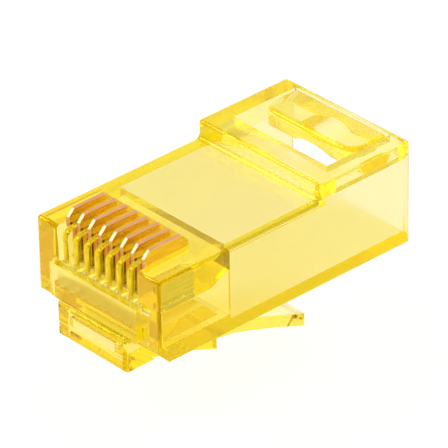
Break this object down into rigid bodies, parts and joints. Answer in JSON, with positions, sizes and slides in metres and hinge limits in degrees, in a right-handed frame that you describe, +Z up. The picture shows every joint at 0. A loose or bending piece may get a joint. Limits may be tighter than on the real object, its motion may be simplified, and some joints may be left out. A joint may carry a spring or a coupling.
{
  "type": "rj45 modular plug",
  "caption": "Clear moulded modular plug with a row of gold-plated blade contacts, a sprung latch below and a push-in jacket strain relief at the cable end.",
  "frame": {"origin": "middle of the nose face, level with the underside of the body", "axes": "+Y from the nose towards the cable end, +Z up towards the contact side, +X across the plug"},
  "size_m": [0.0116, 0.0227, 0.0137],
  "materials": {
    "housing": "clear yellow moulded polycarbonate, polished",
    "contact": "gold plating over stamped phosphor bronze"
  },
  "bodies": {
    "housing": {"housing": "housing"},
    "latch": {"latch": "housing"},
    "jacket_relief": {"jacket_relief": "housing"},
    "contact_1": {"contact_1": "contact"},
    "contact_2": {"contact_2": "contact"},
    "contact_3": {"contact_3": "contact"},
    "contact_4": {"contact_4": "contact"},
    "contact_5": {"contact_5": "contact"},
    "contact_6": {"contact_6": "contact"},
    "contact_7": {"contact_7": "contact"},
    "contact_8": {"contact_8": "contact"}
  },
  "joints": [
    {"name": "latch_hinge", "type": "hinge", "parent": "housing", "child": "latch", "pos_m": [0, 0.002, -0.0009], "axis": [1, 0, 0], "range_deg": [0, 15], "stiffness_Nm_per_rad": 0.2},
    {"name": "jacket_relief_hinge", "type": "hinge", "parent": "housing", "child": "jacket_relief", "pos_m": [0, 0.0212, 0.00728], "axis": [1, 0, 0], "range_deg": [0, 30]},
    {"name": "contact_1_travel", "type": "slide", "parent": "housing", "child": "contact_1", "axis": [0, 0, -1], "range_m": [0, 0.00093]},
    {"name": "contact_2_travel", "type": "slide", "parent": "housing", "child": "contact_2", "axis": [0, 0, -1], "range_m": [0, 0.00093]},
    {"name": "contact_3_travel", "type": "slide", "parent": "housing", "child": "contact_3", "axis": [0, 0, -1], "range_m": [0, 0.00093]},
    {"name": "contact_4_travel", "type": "slide", "parent": "housing", "child": "contact_4", "axis": [0, 0, -1], "range_m": [0, 0.00093]},
    {"name": "contact_5_travel", "type": "slide", "parent": "housing", "child": "contact_5", "axis": [0, 0, -1], "range_m": [0, 0.00093]},
    {"name": "contact_6_travel", "type": "slide", "parent": "housing", "child": "contact_6", "axis": [0, 0, -1], "range_m": [0, 0.00093]},
    {"name": "contact_7_travel", "type": "slide", "parent": "housing", "child": "contact_7", "axis": [0, 0, -1], "range_m": [0, 0.00093]},
    {"name": "contact_8_travel", "type": "slide", "parent": "housing", "child": "contact_8", "axis": [0, 0, -1], "range_m": [0, 0.00093]}
  ]
}
